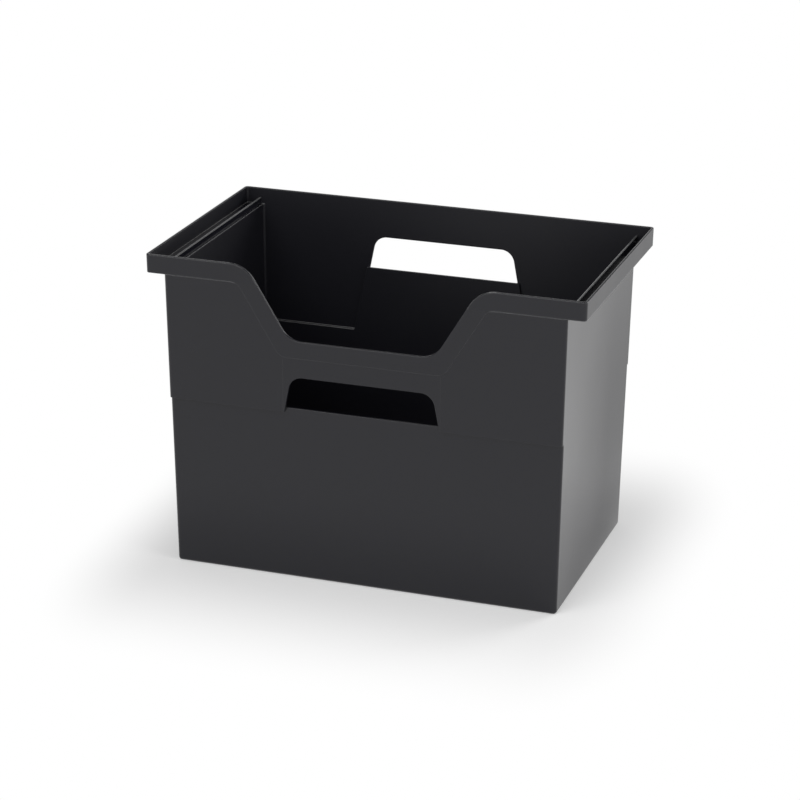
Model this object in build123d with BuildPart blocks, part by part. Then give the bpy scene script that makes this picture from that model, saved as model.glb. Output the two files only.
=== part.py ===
from build123d import *

import os
from math import radians, tan

# A portable file box for letter-size hanging folders, moulded in one shot of black plastic.
# X runs along the length and Z up; the front, with the low cutout, faces -Y.
# The origin is on the floor, under the middle of the box. All sizes are in millimetres.

# overall size, over the rim
rim_length = 340.0
rim_depth = 200.0
height = 248.0

# walls
wall = 2.0
floor_thickness = 2.4
draft = 0.9  # degrees that every upright wall leans out, so that the moulding leaves its mould
outer_corner = 3.0  # radius of the upright corners, outside
inner_corner = 2.0  # and inside
base_round = 2.5  # where the walls turn into the floor, outside
floor_round = 1.5  # and inside

# the rim: a raised band on the long walls, and a lipped shelf past each end wall
band_height = 14.4
band_rise = 0.5
band_round = 0.3  # along the band's lower edge
lip_overhang = 14.2
shelf_thickness = 1.6
edge_round = 0.6  # along the top of the rim and the edges of the cutout

# the long walls step in part of the way down, which is what lets the hand holes be moulded
step_drop = 112.4  # below the top of the rim
step_depth = 2.4
ledge_thickness = 2.8  # of the level web that joins the wall above the step to the wall below

# hand holes, one through each long wall; their sides lean in towards the top
front_hole_width = 120.4  # at the sill
back_hole_width = 123.4
hole_height = 25.6
hole_lean = 11.0  # degrees
hole_corner = 11.0
hole_round = 0.5  # along the edges of the holes, for the hand
back_sill_drop = 56.2  # of the back hole's sill, below the top; the front sill is right on the step

# the low cutout in the front wall, with the raised band carried round it
cutout_drop = 55.4  # of its sill, below the top of the rim
cutout_bottom = 113.0  # width along the sill
cutout_slope = 58.9  # degrees of its sides, from the horizontal
cutout_inner_radius = 18.5
cutout_shoulder_radius = 23.0
cutout_band = 13.4
cutout_band_radius = 9.5

# a barely raised pad on the grip bar and round the front hand hole
pad_margin = 1.5  # past the hole on each side
pad_rise = 0.2

# hanging rails, one rib on each end shelf
rail_channel = 10.4  # clear width between the rib and the lip, for the hooks of a folder's rod
rail_thickness = 1.9
rail_height = 5.2
rail_round = 0.6

# levels and slopes that follow from the sizes above
lean = tan(radians(draft))
lean_in = -tan(radians(hole_lean))
run_out = 1 / tan(radians(cutout_slope))
shelf_height = height - band_height
shelf_top = shelf_height + shelf_thickness
step_height = height - step_drop
ledge_height = step_height + ledge_thickness
back_sill = height - back_sill_drop
cutout_sill = height - cutout_drop
band_sill = cutout_sill - cutout_band
through = rim_depth  # far enough for a cut from the middle to pass any wall


def body_length(z):
    """Length over the end walls."""
    return rim_length - 2 * lip_overhang - 2 * lean * (shelf_height - z)


def rim_length_at(z):
    """Length over the two end lips."""
    return rim_length - 2 * lean * (height - z)


def band_depth(z):
    """Depth over the raised band, carried down as far as z."""
    return rim_depth - 2 * lean * (height - z)


def pad_depth(z):
    """Depth over the pad, if it were on both long walls."""
    return upper_depth(z) + 2 * pad_rise


def upper_depth(z):
    """Depth over the long walls above their step."""
    return band_depth(z) - 2 * band_rise


def lower_depth(z):
    """Depth over the long walls below their step."""
    return upper_depth(z) - 2 * step_depth


def outer_sections(bottom, top, length, depth):
    """Level outlines of a block with leaning sides, at its bottom and its top."""
    found = []
    for z in (bottom, top):
        with BuildSketch(Plane.XY.offset(z)) as section:
            RectangleRounded(length(z), depth(z), outer_corner)
        found.append(section.sketch)
    return found


def inner_sections(bottom, top, length, depth):
    """The same, one wall further in."""
    found = []
    for z in (bottom, top):
        with BuildSketch(Plane.XY.offset(z)) as section:
            RectangleRounded(length(z) - 2 * wall, depth(z) - 2 * wall, inner_corner)
        found.append(section.sketch)
    return found


def sloping_sides(bottom, top, sill, half_width, slope):
    """Corners of a trapezoid that is half_width either side of the middle at its sill."""
    low = half_width + (bottom - sill) * slope
    high = half_width + (top - sill) * slope
    return [(-low, bottom), (low, bottom), (high, top), (-high, top)]


def wide_topped(sill, turn, half_width):
    """Corners of the cutout's kind of shape: sloping sides that turn level at a height, then go up."""
    low_left, low_right, high_right, high_left = sloping_sides(sill, turn, sill, half_width, run_out)
    half_top = body_length(turn) / 2
    above = height + band_height
    return [
        low_left,
        low_right,
        high_right,
        (half_top, turn),
        (half_top, above),
        (-half_top, above),
        (-half_top, turn),
        high_left,
    ]


def hole_outline(sill, width):
    """A hand hole, carried down to the step so that the wall below it has no shelf."""
    top = sill + hole_height
    with BuildSketch(Plane.XZ) as outline:
        Polygon(sloping_sides(step_height, top, sill, width / 2, lean_in))
        fillet(outline.vertices().group_by(Axis.Y)[-1], hole_corner)
    return outline.sketch


def hole_edges(sill, width, side):
    """The edges of a hand hole's top and sides, with its sill's outer edge as the last."""
    near = file_box.edges().filter_by_position(Axis.Y, *sorted((0, side * rim_depth)))
    near = near.filter_by_position(Axis.X, -width / 2, width / 2)
    above = near.filter_by_position(Axis.Z, sill + hole_round, sill + hole_height + hole_round)
    level = near.filter_by_position(Axis.Z, sill - hole_round, sill + hole_round)
    long_ones = level.filter_by_position(Axis.X, -wall, wall)
    return above + [max(long_ones, key=lambda edge: side * edge.center().Y)]


# The band round the cutout, as a slab whose front leans with the rim.
half_cutout = cutout_bottom / 2
half_band = half_cutout + cutout_band * tan(radians(cutout_slope / 2))
with BuildPart() as band_slab:
    loft(outer_sections(band_sill, height, body_length, band_depth))
    with BuildSketch(Plane.XZ) as band_outline:
        Polygon(wide_topped(band_sill, shelf_height, half_band))
        fillet(band_outline.vertices().group_by(Axis.Y)[1].sort_by(Axis.X)[1:-1], cutout_band_radius)
        fillet(band_outline.vertices().group_by(Axis.Y)[0], cutout_band_radius)
    extrude(amount=through, mode=Mode.INTERSECT)

front_hole = hole_outline(ledge_height, front_hole_width)
back_hole = hole_outline(back_sill, back_hole_width)

# The pad, which the band covers at its top.
with BuildPart() as pad_slab:
    loft(outer_sections(step_height, cutout_sill, body_length, pad_depth))
    with BuildSketch(Plane.XZ):
        with Locations((0, step_height)):
            Rectangle(
                front_hole_width + 2 * pad_margin,
                cutout_sill - step_height,
                align=(Align.CENTER, Align.MIN),
            )
    extrude(amount=through, mode=Mode.INTERSECT)
    extrude(front_hole, amount=through, mode=Mode.SUBTRACT)

# The outside of the box, still solid.
with BuildPart() as outside:
    loft(outer_sections(step_height, shelf_height, body_length, upper_depth))
    extrude(front_hole, amount=through, mode=Mode.SUBTRACT)
    extrude(back_hole, amount=-through, mode=Mode.SUBTRACT)
    # The lower walls go up behind the holes, and stay as the panel under the back one.
    loft(outer_sections(0, shelf_height, body_length, lower_depth))
    fillet(outside.edges().group_by(Axis.Z)[0], base_round)
    loft(outer_sections(shelf_height, height, rim_length_at, band_depth))
    add(band_slab)
    add(pad_slab)

# The space inside.
with BuildPart() as hollow:
    loft(inner_sections(ledge_height, shelf_top, body_length, upper_depth))
    with BuildSketch(Plane.XZ):
        half_panel = back_hole_width / 2 + wall
        Polygon(sloping_sides(ledge_height, back_sill, back_sill, half_panel, lean_in))
    extrude(amount=-through, mode=Mode.SUBTRACT)
    loft(inner_sections(floor_thickness, shelf_top, body_length, lower_depth))
    fillet(hollow.edges().group_by(Axis.Z)[0], floor_round)
    loft(inner_sections(shelf_top, height, rim_length_at, upper_depth))

with BuildPart() as file_box:
    add(outside)
    add(hollow, mode=Mode.SUBTRACT)
    with BuildSketch(Plane.XZ) as cutout:
        Polygon(wide_topped(cutout_sill, height, half_cutout))
        fillet(cutout.vertices().group_by(Axis.Y)[1].sort_by(Axis.X)[1:-1], cutout_shoulder_radius)
        fillet(cutout.vertices().group_by(Axis.Y)[0], cutout_inner_radius)
    extrude(amount=through, mode=Mode.SUBTRACT)
    # The rim's outer and inner edges each run on smoothly round the corners and the cutout.
    back_edges = file_box.edges().group_by(Axis.Z)[-1].filter_by(Axis.X).sort_by(Axis.Y)[-2:]
    fillet(back_edges, edge_round)
    # So does the lower edge of the band, which is also that of the lips.
    low_edges = file_box.edges().filter_by(Axis.Y).filter_by_position(Axis.Z, 0, shelf_top).sort_by(Axis.X)
    fillet([low_edges[0], low_edges[-1]], band_round)
    fillet(hole_edges(ledge_height, front_hole_width, -1), hole_round)
    fillet(hole_edges(back_sill, back_hole_width, 1), hole_round)
file_box.part.label = "file_box"

os.makedirs("parts", exist_ok=True)
export_step(file_box.part, "parts/file_box.step")

# The hanging rails stand on the shelves and run from the front wall to the back wall.
half_channel_end = rim_length_at(shelf_top) / 2 - wall
rail_middle = half_channel_end - rail_channel - rail_thickness / 2
for name, side in (("hanging_rail_left", -1), ("hanging_rail_right", 1)):
    with BuildPart() as rail:
        with BuildSketch(Plane.XZ) as rib:
            with Locations((side * rail_middle, shelf_top)):
                Trapezoid(
                    rail_thickness,
                    rail_height,
                    90 - draft,
                    align=(Align.CENTER, Align.MIN),
                )
            fillet(rib.vertices().group_by(Axis.Y)[-1], rail_round)
        extrude(amount=through, both=True)
        add(hollow, mode=Mode.INTERSECT)
    rail.part.label = name
    export_step(rail.part, f"parts/{name}.step")
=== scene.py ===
import math

import bpy
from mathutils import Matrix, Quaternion, Vector

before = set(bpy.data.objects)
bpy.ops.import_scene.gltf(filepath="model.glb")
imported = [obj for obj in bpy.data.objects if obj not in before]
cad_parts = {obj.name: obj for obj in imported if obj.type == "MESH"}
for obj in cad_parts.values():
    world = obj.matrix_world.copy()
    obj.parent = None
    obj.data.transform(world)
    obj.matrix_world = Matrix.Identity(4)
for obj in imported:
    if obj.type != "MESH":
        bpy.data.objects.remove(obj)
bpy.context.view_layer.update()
print("frame loaded:", ", ".join(sorted(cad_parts)))


# small helpers for node trees

def setSockets(node, values):
    for name, value in values.items():
        node.inputs[name].default_value = value


def addNode(tree, kind, inputs=None, **settings):
    node = tree.nodes.new(kind)
    for name, value in settings.items():
        setattr(node, name, value)
    setSockets(node, inputs or {})
    return node


def addMath(tree, operation, first, second=None, third=None, clamp=False):
    node = addNode(tree, "ShaderNodeMath", operation=operation, use_clamp=clamp)
    for index, value in enumerate((first, second, third)):
        if value is None:
            continue
        if isinstance(value, (int, float)):
            node.inputs[index].default_value = value
        else:
            tree.links.new(value, node.inputs[index])
    return node.outputs[0]


def addVectorMath(tree, operation, first, second=None):
    node = addNode(tree, "ShaderNodeVectorMath", operation=operation)
    tree.links.new(first, node.inputs[0])
    if second is not None:
        tree.links.new(second, node.inputs[1])
    return node


def leftOver(tree, share):
    return addMath(tree, "SUBTRACT", 1.0, share)


def nearLevel(group, height, level, band):
    # 1 on what lies within a band either side of a level, and 0 elsewhere
    off = addMath(group, "ABSOLUTE", addMath(group, "SUBTRACT", height, level))
    return addMath(group, "LESS_THAN", off, band)


def objectPlace(tree):
    # in metres, so that a size reads the same on every piece
    return tree.nodes.new("ShaderNodeTexCoord").outputs["Object"]


def splitAxes(tree, vector):
    parts = tree.nodes.new("ShaderNodeSeparateXYZ")
    tree.links.new(vector, parts.inputs[0])
    return parts.outputs


def smoothChange(tree, value, begins, ends, before, after):
    change = addNode(tree, "ShaderNodeMapRange", {
        "From Min": begins,
        "From Max": ends,
        "To Min": before,
        "To Max": after,
    }, interpolation_type="SMOOTHSTEP")
    tree.links.new(value, change.inputs["Value"])
    return change.outputs[0]


def stretchedPlace(group, stretch):
    scaled = addVectorMath(group, "MULTIPLY", objectPlace(group))
    scaled.inputs[1].default_value = stretch
    return scaled.outputs[0]


def addNoise(group, place, size, detail, roughness=0.5):
    noise = addNode(group, "ShaderNodeTexNoise", {"Detail": detail, "Roughness": roughness})
    group.links.new(place, noise.inputs["Vector"])
    group.links.new(addMath(group, "DIVIDE", 1.0, size), noise.inputs["Scale"])
    return noise.outputs["Fac"]


def newGroup(name, knobs, outputs):
    group = bpy.data.node_groups.new(name, "ShaderNodeTree")
    for knob, value in knobs.items():
        socket = group.interface.new_socket(knob, in_out="INPUT", socket_type="NodeSocketFloat")
        socket.default_value = value
    for output, kind in outputs.items():
        group.interface.new_socket(output, in_out="OUTPUT", socket_type=kind)
    given = group.nodes.new("NodeGroupInput").outputs
    made = group.nodes.new("NodeGroupOutput").inputs
    return group, given, made


def placeGroup(tree, group, values):
    node = addNode(tree, "ShaderNodeGroup")
    node.node_tree = group
    setSockets(node, values)
    return node


# shared effects, each a group with its own knobs; lengths are in metres

def makeMouldedSurface():
    # the slow waves that a cooling wall settles into, and the fine grain of the mould's steel
    group, given, made = newGroup(
        "mouldedSurface",
        {
            "Wave Size": 0.07,
            "Wave Depth": 0.00004,
            "Grain Size": 0.0008,
            "Grain Depth": 0.000002,
        },
        {"Height": "NodeSocketFloat"},
    )
    wavePlace = stretchedPlace(group, (1.0, 1.0, 0.25))  # the waves run long up the walls
    waves = addNoise(group, wavePlace, given["Wave Size"], detail=1.0)
    grain = addNoise(group, objectPlace(group), given["Grain Size"], detail=2.0)
    waveHeight = addMath(group, "MULTIPLY", waves, given["Wave Depth"])
    height = addMath(group, "MULTIPLY_ADD", grain, given["Grain Depth"], waveHeight)
    group.links.new(height, made["Height"])
    return group


def makeSoftEdges():
    # rounds sharp edges for the light alone, and says where an edge is
    group, given, made = newGroup(
        "softEdges",
        {"Radius": 0.0005, "Sharpness": 4.0},
        {"Normal": "NodeSocketVector", "Edge": "NodeSocketFloat"},
    )
    rounded = addNode(group, "ShaderNodeBevel", samples=6)
    group.links.new(given["Radius"], rounded.inputs["Radius"])
    plain = group.nodes.new("ShaderNodeNewGeometry")
    turned = addVectorMath(group, "DOT_PRODUCT", rounded.outputs[0], plain.outputs["Normal"])
    bend = addMath(group, "SUBTRACT", 1.0, turned.outputs["Value"], clamp=True)
    edge = addMath(group, "MULTIPLY", bend, given["Sharpness"], clamp=True)
    group.links.new(rounded.outputs[0], made["Normal"])
    group.links.new(edge, made["Edge"])
    return group


def makeHandling():
    # cloudy patches left by hands and wiping
    group, given, made = newGroup(
        "handling",
        {"Patch Size": 0.05, "Dullest": 0.3, "Glossiest": 0.2},
        {"Roughness": "NodeSocketFloat"},
    )
    patches = addNoise(group, objectPlace(group), given["Patch Size"], detail=4.0, roughness=0.6)
    span = addMath(group, "SUBTRACT", given["Dullest"], given["Glossiest"])
    roughness = addMath(group, "MULTIPLY_ADD", patches, span, given["Glossiest"])
    group.links.new(roughness, made["Roughness"])
    return group


def makeMouldSides():
    # masks of the box's own faces: which side of the mould made them, and what belongs to the rim
    group, given, made = newGroup(
        "mouldSides",
        {
            "Rim From": 0.2334,
            "Shelf Level": 0.2352,
            "Shelf Band": 0.0025,
            "Ledge Level": 0.1384,
            "Ledge Band": 0.0012,
            "Wall Foot": 0.0956,  # where a long wall would meet the floor, from the middle
            "Wall Lean": 0.0157,  # outwards, for each metre up
            "Proud By": 0.00035,
            "Facing In": -0.2,  # the last three are cosines
            "Facing Sideways": 0.9,
            "Facing Up": 0.3,
        },
        dict.fromkeys(("Inside", "End Wall", "Rim", "Rim Face", "Shelf", "Band"), "NodeSocketFloat"),
    )
    outward = addVectorMath(group, "NORMALIZE", stretchedPlace(group, (1.0, 1.0, 0.0)))
    normal = group.nodes.new("ShaderNodeNewGeometry").outputs["True Normal"]
    facing = addVectorMath(group, "DOT_PRODUCT", outward.outputs[0], normal)
    inside = addMath(group, "LESS_THAN", facing.outputs["Value"], given["Facing In"])
    outside = leftOver(group, inside)
    group.links.new(inside, made["Inside"])

    turned = splitAxes(group, normal)
    acrossTurn = addMath(group, "ABSOLUTE", turned["X"])
    sideways = addMath(group, "GREATER_THAN", acrossTurn, given["Facing Sideways"])
    group.links.new(addMath(group, "MULTIPLY", sideways, outside), made["End Wall"])

    place = splitAxes(group, objectPlace(group))
    rim = addMath(group, "GREATER_THAN", place["Z"], given["Rim From"])
    upright = addMath(group, "LESS_THAN", addMath(group, "ABSOLUTE", turned["Z"]), given["Facing Up"])
    rimFace = addMath(group, "MULTIPLY", rim, addMath(group, "MULTIPLY", upright, outside))
    group.links.new(rim, made["Rim"])
    group.links.new(rimFace, made["Rim Face"])

    # the end shelves, and the ledge inside the back wall
    shelf = nearLevel(group, place["Z"], given["Shelf Level"], given["Shelf Band"])
    ledge = nearLevel(group, place["Z"], given["Ledge Level"], given["Ledge Band"])
    behind = addMath(group, "GREATER_THAN", place["Y"], 0.0)
    shelf = addMath(group, "MAXIMUM", shelf, addMath(group, "MULTIPLY", ledge, behind))
    group.links.new(addMath(group, "MULTIPLY", shelf, leftOver(group, rimFace)), made["Shelf"])

    # the band stands proud of the leaning long walls
    wallFace = addMath(group, "MULTIPLY_ADD", place["Z"], given["Wall Lean"], given["Wall Foot"])
    proud = addMath(group, "SUBTRACT", addMath(group, "ABSOLUTE", place["Y"]), wallFace)
    group.links.new(addMath(group, "GREATER_THAN", proud, given["Proud By"]), made["Band"])
    return group


def makeWallBow():
    # how far the end walls have drawn in between the floor and the rim, as they do when they cool
    group, given, made = newGroup(
        "wallBow",
        {
            "Depth": 0.003,
            "Middle": -0.06,
            "Straight From": 0.04,
            "Top": 0.2336,
            "Lowness": 0.7,
            "Fullness": 1.2,
            "Share Where Held": 0.3,
        },
        {"Height": "NodeSocketFloat"},
    )
    place = splitAxes(group, objectPlace(group))
    # a hollow curve along the wall as far as one line, and past it straight on at twice the reach,
    # which is the slope that the curve has there
    past = addMath(group, "SUBTRACT", place["Y"], given["Middle"])
    most = addMath(group, "SUBTRACT", given["Straight From"], given["Middle"])
    curved = addMath(group, "MINIMUM", past, most)
    rest = addMath(group, "SUBTRACT", past, curved)
    square = addMath(group, "MULTIPLY", curved, curved)
    straight = addMath(group, "MULTIPLY", addMath(group, "MULTIPLY", rest, most), 2.0)
    shape = addMath(group, "ADD", square, straight)
    scale = addMath(group, "DIVIDE", given["Depth"], addMath(group, "MULTIPLY", most, most))
    depth = addMath(group, "MULTIPLY", shape, scale)
    # less of it near the floor and the rim, which hold the wall; 4 brings the most of it up to 1
    level = addMath(group, "DIVIDE", place["Z"], given["Top"], clamp=True)
    level = addMath(group, "POWER", level, given["Lowness"])
    swell = addMath(group, "MULTIPLY", level, leftOver(group, level))
    swell = addMath(group, "MULTIPLY", swell, 4.0)
    swell = addMath(group, "POWER", swell, given["Fullness"])
    free = leftOver(group, given["Share Where Held"])
    share = addMath(group, "MULTIPLY_ADD", swell, free, given["Share Where Held"])
    group.links.new(addMath(group, "MULTIPLY", depth, share), made["Height"])
    return group


mouldedSurface = makeMouldedSurface()
softEdges = makeSoftEdges()
handling = makeHandling()
mouldSides = makeMouldSides()
wallBow = makeWallBow()
print("shared effects built")


# the plastic

def wearAndHighlightOnEdges(tree, sides, edge, look):
    # edges are painted paler, partly as wear where they are handled and partly as painted highlights for
    # the light that rounded edges catch, most of all on the rim and the shelves
    rimMore = look["rimWearAndHighlight"] - look["wearAndHighlightBelowRim"]
    share = addMath(tree, "MULTIPLY_ADD", sides["Rim"], rimMore, look["wearAndHighlightBelowRim"])
    # a painted highlight along the edges of the proud band
    share = addMath(tree, "MAXIMUM", share, addMath(tree, "MULTIPLY", sides["Band"], look["bandHighlight"]))
    onEnd = addMath(tree, "MULTIPLY", sides["Rim Face"], sides["End Wall"])
    share = addMath(tree, "MULTIPLY_ADD", onEnd, look["endRimHighlight"], share)
    kept = addMath(tree, "MULTIPLY_ADD", sides["Inside"], -look["wearAndHighlightLostInside"], 1.0)
    share = addMath(tree, "MULTIPLY", share, kept)
    # painted highlight lines where the end shelves meet the lips and at their inner edges, and along the
    # ledge inside the back wall
    share = addMath(tree, "MAXIMUM", share, addMath(tree, "MULTIPLY", sides["Shelf"], look["shelfHighlight"]))
    wearAndHighlight = addMath(tree, "MULTIPLY", edge, share)
    return addMath(tree, "MULTIPLY_ADD", sides["Rim"], look["topHighlight"], wearAndHighlight, clamp=True)


def mixColours(tree, share, first, second):
    mixed = addNode(tree, "ShaderNodeMix", data_type="RGBA")
    mixed.inputs["A"].default_value = (*first, 1.0)
    mixed.inputs["B"].default_value = (*second, 1.0)
    tree.links.new(share, mixed.inputs["Factor"])
    return mixed.outputs["Result"]


def plasticRoughness(tree, sides, marks, look):
    # the rim's faces and the inside are duller than the walls, and the shelves glossier
    onRim = addMath(tree, "MULTIPLY_ADD", sides["Rim"], -look["shelfGlossier"], marks)
    onFace = look["rimDuller"] + look["shelfGlossier"]
    onRim = addMath(tree, "MULTIPLY_ADD", sides["Rim Face"], onFace, onRim)
    within = addMath(tree, "MULTIPLY_ADD", sides["Inside"], look["insideDuller"], marks)
    mixed = addNode(tree, "ShaderNodeMix", data_type="FLOAT")
    tree.links.new(sides["Inside"], mixed.inputs["Factor"])
    tree.links.new(onRim, mixed.inputs["A"])
    tree.links.new(within, mixed.inputs["B"])
    return mixed.outputs["Result"]


def makePlastic(name, look):
    material = bpy.data.materials.new(name)
    material.use_nodes = True
    tree = material.node_tree
    shader = tree.nodes["Principled BSDF"]
    setSockets(shader, {"IOR": look["ior"], "Metallic": 0.0})

    sides = placeGroup(tree, mouldSides, {"Rim From": look["rimFrom"]}).outputs
    edges = placeGroup(tree, softEdges, {"Sharpness": look["edgeSharpness"]})
    wide = addMath(tree, "MAXIMUM", sides["Rim Face"], sides["Shelf"])
    wider = look["rimEdgeRadius"] - look["edgeRadius"]
    tree.links.new(addMath(tree, "MULTIPLY_ADD", wide, wider, look["edgeRadius"]), edges.inputs["Radius"])
    surface = placeGroup(tree, mouldedSurface, {
        "Wave Size": look["waveSize"],
        "Wave Depth": look["waveDepth"],
        "Grain Size": look["grainSize"],
    })
    coarser = look["rimGrainDepth"] - look["grainDepth"]
    grain = addMath(tree, "MULTIPLY_ADD", sides["Rim Face"], coarser, look["grainDepth"])
    tree.links.new(grain, surface.inputs["Grain Depth"])
    marks = placeGroup(tree, handling, {
        "Patch Size": look["patchSize"],
        "Dullest": look["dullest"],
        "Glossiest": look["glossiest"],
    })
    bow = placeGroup(tree, wallBow, {"Depth": look["bowDepth"]})

    # the black, painted paler along edges as wear and as painted highlights
    wearAndHighlight = wearAndHighlightOnEdges(tree, sides, edges.outputs["Edge"], look)
    colour = mixColours(tree, wearAndHighlight, look["colour"], look["wearAndHighlightColour"])
    tree.links.new(colour, shader.inputs["Base Color"])
    roughness = plasticRoughness(tree, sides, marks.outputs["Roughness"], look)
    tree.links.new(roughness, shader.inputs["Roughness"])

    bump = addNode(tree, "ShaderNodeBump", {"Strength": 1.0, "Distance": 1.0})
    bowed = addMath(tree, "MULTIPLY", bow.outputs["Height"], sides["End Wall"])
    tree.links.new(addMath(tree, "ADD", surface.outputs["Height"], bowed), bump.inputs["Height"])
    tree.links.new(edges.outputs["Normal"], bump.inputs["Normal"])
    tree.links.new(bump.outputs["Normal"], shader.inputs["Normal"])
    return material


def dressNode(nodeName, material):
    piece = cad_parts[nodeName]
    piece.data.materials.clear()
    piece.data.materials.append(material)


boxLook = {
    "colour": (0.007, 0.007, 0.0105),
    "wearAndHighlightColour": (0.2, 0.2, 0.203),
    "wearAndHighlightBelowRim": 0.1,
    "bandHighlight": 0.7,
    "rimWearAndHighlight": 0.7,
    "endRimHighlight": 0.6,  # on top of that, a painted highlight on the outsides of the end lips
    "shelfHighlight": 0.75,
    "wearAndHighlightLostInside": 0.5,
    "topHighlight": 0.0,  # a painted highlight over the whole of the rim, not its edges alone
    "rimFrom": 0.2334,
    "ior": 1.44,
    "glossiest": 0.16,
    "dullest": 0.24,
    "rimDuller": 0.15,
    "shelfGlossier": 0.09,
    "insideDuller": 0.25,
    "patchSize": 0.06,
    "edgeRadius": 0.0005,
    "rimEdgeRadius": 0.0011,
    "edgeSharpness": 8.0,
    "waveSize": 0.05,
    "waveDepth": 0.00012,
    "grainSize": 0.0009,
    "grainDepth": 0.000002,
    "rimGrainDepth": 0.000007,
    "bowDepth": 0.0048,
}
dressNode("file_box", makePlastic("boxPlastic", boxLook))

# the rails are glossier, and a painted highlight pales their tops and edges
railLook = dict(boxLook)
railLook.update({
    "wearAndHighlightColour": (0.3, 0.3, 0.302),
    "topHighlight": 0.3,
    "rimFrom": 0.2397,
    "wearAndHighlightLostInside": 0.0,
    "glossiest": 0.1,
    "dullest": 0.18,
    "rimDuller": 0.0,
    "shelfGlossier": 0.0,
    "insideDuller": 0.0,
    "edgeRadius": 0.0003,
    "rimEdgeRadius": 0.0003,
    "bowDepth": 0.0,
})
railPlastic = makePlastic("railPlastic", railLook)
dressNode("hanging_rail_left", railPlastic)
dressNode("hanging_rail_right", railPlastic)
print("plastic on", len(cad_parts), "nodes")


# the floor, white all over, with the box's own soft shadow near it

floorLook = {
    "size": 14.0,
    "colour": (0.93, 0.93, 0.93),
    "whiteNear": 0.25,  # how much of the floor's own light is plain white round the box
    "halfLength": 0.152,  # of the box's foot
    "halfDepth": 0.092,
    "shadowReach": 0.09,
    "frontShare": 0.5,  # the shadow reaches further in front, by the inverse of this
    "backShare": 0.5,  # and behind
}


def floorFade(tree):
    # how white the floor is: the shadow fades out into plain white away from the box
    place = splitAxes(tree, objectPlace(tree))
    aside = addMath(tree, "SUBTRACT", addMath(tree, "ABSOLUTE", place["X"]), floorLook["halfLength"])
    behind = addMath(tree, "SUBTRACT", place["Y"], floorLook["halfDepth"])
    behind = addMath(tree, "MULTIPLY", behind, floorLook["backShare"])
    ahead = addMath(tree, "MULTIPLY_ADD", place["Y"], -1.0, -floorLook["halfDepth"])
    ahead = addMath(tree, "MULTIPLY", ahead, floorLook["frontShare"])
    along = addMath(tree, "MAXIMUM", behind, ahead)
    past = tree.nodes.new("ShaderNodeCombineXYZ")
    tree.links.new(addMath(tree, "MAXIMUM", aside, 0.0), past.inputs["X"])
    tree.links.new(addMath(tree, "MAXIMUM", along, 0.0), past.inputs["Y"])
    distance = addVectorMath(tree, "LENGTH", past.outputs[0]).outputs["Value"]
    return smoothChange(tree, distance, 0.0, floorLook["shadowReach"], floorLook["whiteNear"], 1.0)


def mixShaders(tree, share, first, second):
    mixed = tree.nodes.new("ShaderNodeMixShader")
    tree.links.new(share, mixed.inputs[0])
    tree.links.new(first.outputs[0], mixed.inputs[1])
    tree.links.new(second.outputs[0], mixed.inputs[2])
    return mixed


def makeFloorPaper():
    material = bpy.data.materials.new("floorPaper")
    material.use_nodes = True
    tree = material.node_tree
    tree.nodes.clear()
    lit = addNode(tree, "ShaderNodeBsdfDiffuse", {"Color": (*floorLook["colour"], 1.0)})
    white = addNode(tree, "ShaderNodeEmission", {"Color": (1.0, 1.0, 1.0, 1.0), "Strength": 1.0})
    seen = mixShaders(tree, floorFade(tree), lit, white)
    # diffuse light meets plain paper, so that the white adds no light to the box
    path = tree.nodes.new("ShaderNodeLightPath")
    straight = addMath(tree, "MAXIMUM", path.outputs["Is Camera Ray"], path.outputs["Is Glossy Ray"])
    straight = addMath(tree, "MAXIMUM", straight, path.outputs["Is Transmission Ray"])
    paper = mixShaders(tree, straight, lit, seen)
    output = tree.nodes.new("ShaderNodeOutputMaterial")
    tree.links.new(paper.outputs[0], output.inputs["Surface"])
    return material


def makeFloor():
    half = floorLook["size"] / 2
    corners = [(-half, -half, 0), (half, -half, 0), (half, half, 0), (-half, half, 0)]
    mesh = bpy.data.meshes.new("floorMesh")
    mesh.from_pydata(corners, [], [(0, 1, 2, 3)])
    mesh.materials.append(makeFloorPaper())
    floor = bpy.data.objects.new("floor", mesh)
    bpy.context.scene.collection.objects.link(floor)


makeFloor()
print("floor laid")


# light: a pale room, white at the horizon and glowing a little overhead, with three soft lamps:
# the main one in front, one behind on the right and one on the right

roomLook = {
    "horizon": 1.0,
    "above": 0.1,
    "whiteUpTo": 0.25,  # heights on a dome of radius 1
    "dimFrom": 0.33,
    "overhead": 0.4,  # added towards the top of the room
    "overheadFrom": 0.55,
    "overheadFull": 0.95,
}
frontLamp = {
    "place": (-0.45, -1.5, 1.7),
    "aim": (0.0, 0.05, 0.1),
    "size": 1.6,
    "watts": 21.0,
}
backLamp = {
    "place": (1.0, 1.2, 1.0),
    "aim": (0.25, 0.2, 0.0),
    "size": 0.7,
    "watts": 9.0,
}
rightLamp = {
    "place": (1.7, -0.55, 0.9),
    "aim": (0.0, 0.0, 0.1),
    "size": 0.9,
    "watts": 9.0,
}


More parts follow.
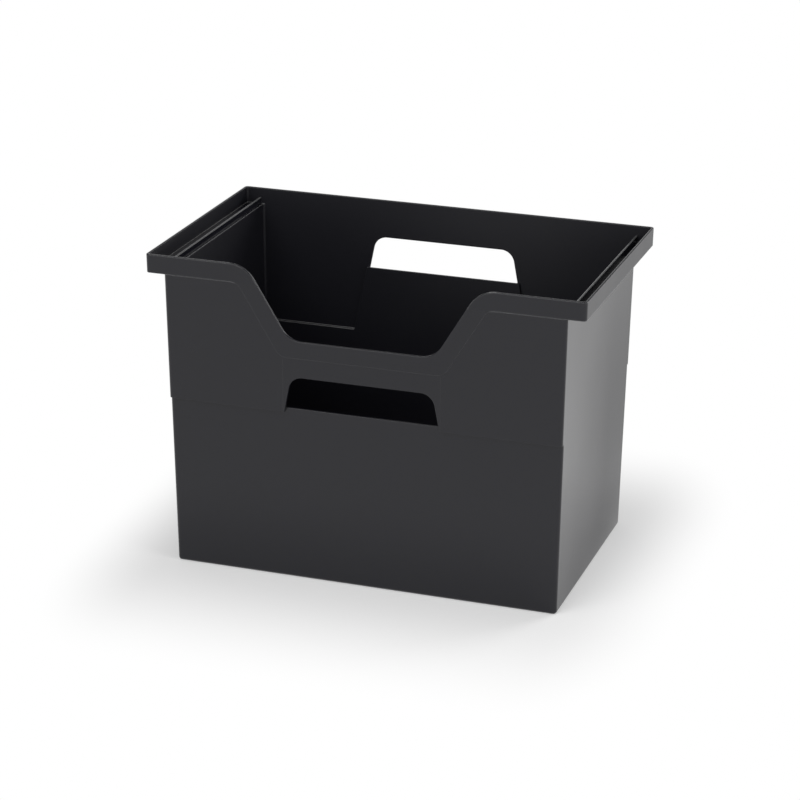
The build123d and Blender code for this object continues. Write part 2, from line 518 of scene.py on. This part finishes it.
def makeRoom():
    world = bpy.data.worlds.new("paleRoom")
    bpy.context.scene.world = world
    world.use_nodes = True
    tree = world.node_tree
    background = tree.nodes["Background"]
    background.inputs["Color"].default_value = (1.0, 1.0, 1.0, 1.0)
    direction = tree.nodes.new("ShaderNodeTexCoord").outputs["Generated"]
    height = splitAxes(tree, direction)["Z"]
    walls = smoothChange(
        tree, height, roomLook["whiteUpTo"], roomLook["dimFrom"], roomLook["horizon"], roomLook["above"]
    )
    ceiling = smoothChange(
        tree, height, roomLook["overheadFrom"], roomLook["overheadFull"], 0.0, roomLook["overhead"]
    )
    tree.links.new(addMath(tree, "ADD", walls, ceiling), background.inputs["Strength"])


def makeLamp(name, look):
    light = bpy.data.lights.new(name, "AREA")
    light.shape = "SQUARE"
    light.size = look["size"]
    light.energy = look["watts"]
    lamp = bpy.data.objects.new(name, light)
    lamp.location = look["place"]
    toAim = Vector(look["aim"]) - Vector(look["place"])
    lamp.rotation_mode = "QUATERNION"
    lamp.rotation_quaternion = toAim.to_track_quat("-Z", "Y")
    lamp.visible_camera = False
    bpy.context.scene.collection.objects.link(lamp)


makeRoom()
makeLamp("frontLamp", frontLamp)
makeLamp("backLamp", backLamp)
makeLamp("rightLamp", rightLamp)
print("lights set")


# camera

cameraLook = {
    "place": (0.6168, -1.8282, 0.8325),
    "azimuth": -18.72,  # degrees, from looking straight along +Y
    "elevation": 20.30,
    "roll": 0.42,
    "sensor": 36.0,  # millimetres
    "lens": 119.45,
}


def makeCamera():
    azimuth = math.radians(cameraLook["azimuth"])
    elevation = math.radians(cameraLook["elevation"])
    ahead = Vector((
        math.sin(azimuth) * math.cos(elevation),
        math.cos(azimuth) * math.cos(elevation),
        -math.sin(elevation),
    ))
    data = bpy.data.cameras.new("camera")
    data.sensor_width = cameraLook["sensor"]
    data.lens = cameraLook["lens"]
    camera = bpy.data.objects.new("camera", data)
    camera.location = cameraLook["place"]
    camera.rotation_mode = "QUATERNION"
    roll = Quaternion((0.0, 0.0, 1.0), math.radians(cameraLook["roll"]))
    camera.rotation_quaternion = ahead.to_track_quat("-Z", "Y") @ roll
    bpy.context.scene.collection.objects.link(camera)
    bpy.context.scene.camera = camera


makeCamera()
bpy.context.scene.view_settings.view_transform = "Standard"
print("camera placed")
